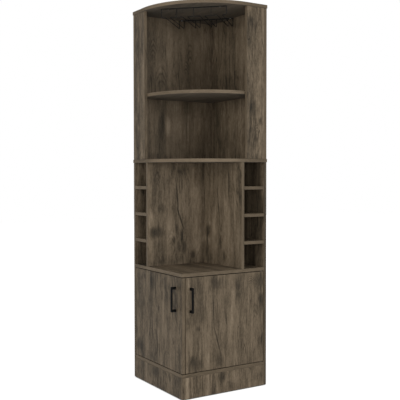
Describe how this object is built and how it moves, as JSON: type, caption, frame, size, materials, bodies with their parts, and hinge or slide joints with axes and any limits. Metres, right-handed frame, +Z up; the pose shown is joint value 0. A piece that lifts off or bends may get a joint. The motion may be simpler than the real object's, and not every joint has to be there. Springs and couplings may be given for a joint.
{
  "type": "corner bar cabinet",
  "caption": "Tall corner bar cabinet with an inset-door cupboard, counter niche, bottle cubbies, a curved display shelf and a hanging stemware rack.",
  "frame": {"origin": "on the floor, under the centre of the box round the whole cabinet with its handles", "axes": "+Z up; the left front faces -X and the right front faces -Y, so the free corner points to -X -Y and the corner against the walls to +X +Y"},
  "size_m": [0.4916, 0.4916, 1.7998],
  "materials": {
    "oak_board": "grey-brown oak print with an upright grain, matt",
    "black_metal": "black powder coat, satin",
    "black_plastic": "moulded, matt",
    "zinc_steel": "zinc plated",
    "nylon": "moulded, dark brown"
  },
  "bodies": {
    "cabinet": {"back_left_lower_panel": "oak_board", "back_left_upper_panel": "oak_board", "back_right_lower_panel": "oak_board", "back_right_upper_panel": "oak_board", "counter_panel": "oak_board", "deck_panel": "oak_board", "floor_glide_1": "nylon", "floor_glide_2": "nylon", "floor_glide_3": "nylon", "floor_glide_4": "nylon", "floor_glide_5": "nylon", "glass_rack_back_bar": "black_metal", "glass_rack_front_bar": "black_metal", "glass_rack_rail_1": "black_metal", "glass_rack_rail_2": "black_metal", "glass_rack_rail_3": "black_metal", "glass_rack_screw_1": "zinc_steel", "glass_rack_screw_2": "zinc_steel", "glass_rack_screw_3": "zinc_steel", "glass_rack_screw_4": "zinc_steel", "glass_rack_side_wire_1": "black_metal", "glass_rack_side_wire_2": "black_metal", "left_divider_1": "oak_board", "left_divider_2": "oak_board", "left_divider_3": "oak_board", "left_lower_bush": "nylon", "left_magnet_catch": "black_plastic", "left_partition": "oak_board", "left_plinth_board": "oak_board", "left_upper_bush": "nylon", "middle_panel": "oak_board", "right_divider_1": "oak_board", "right_divider_2": "oak_board", "right_divider_3": "oak_board", "right_lower_bush": "nylon", "right_magnet_catch": "black_plastic", "right_partition": "oak_board", "right_plinth_board": "oak_board", "right_upper_bush": "nylon", "top_panel": "oak_board", "upper_left_stile": "oak_board", "upper_right_stile": "oak_board", "upper_shelf": "oak_board"},
    "left_door": {"left_door": "oak_board", "left_door_lower_pin": "zinc_steel", "left_door_upper_pin": "zinc_steel", "left_handle": "black_metal", "left_handle_lower_screw": "zinc_steel", "left_handle_upper_screw": "zinc_steel", "left_strike_plate": "zinc_steel"},
    "right_door": {"right_door": "oak_board", "right_door_lower_pin": "zinc_steel", "right_door_upper_pin": "zinc_steel", "right_handle": "black_metal", "right_handle_lower_screw": "zinc_steel", "right_handle_upper_screw": "zinc_steel", "right_strike_plate": "zinc_steel"}
  },
  "joints": [
    {"name": "left_door_hinge", "type": "hinge", "parent": "cabinet", "child": "left_door", "pos_m": [-0.2137, 0.2138, 0.332], "axis": [0, 0, -1], "range_deg": [0, 110]},
    {"name": "right_door_hinge", "type": "hinge", "parent": "cabinet", "child": "right_door", "pos_m": [0.2138, -0.2137, 0.332], "axis": [0, 0, 1], "range_deg": [0, 110]}
  ]
}
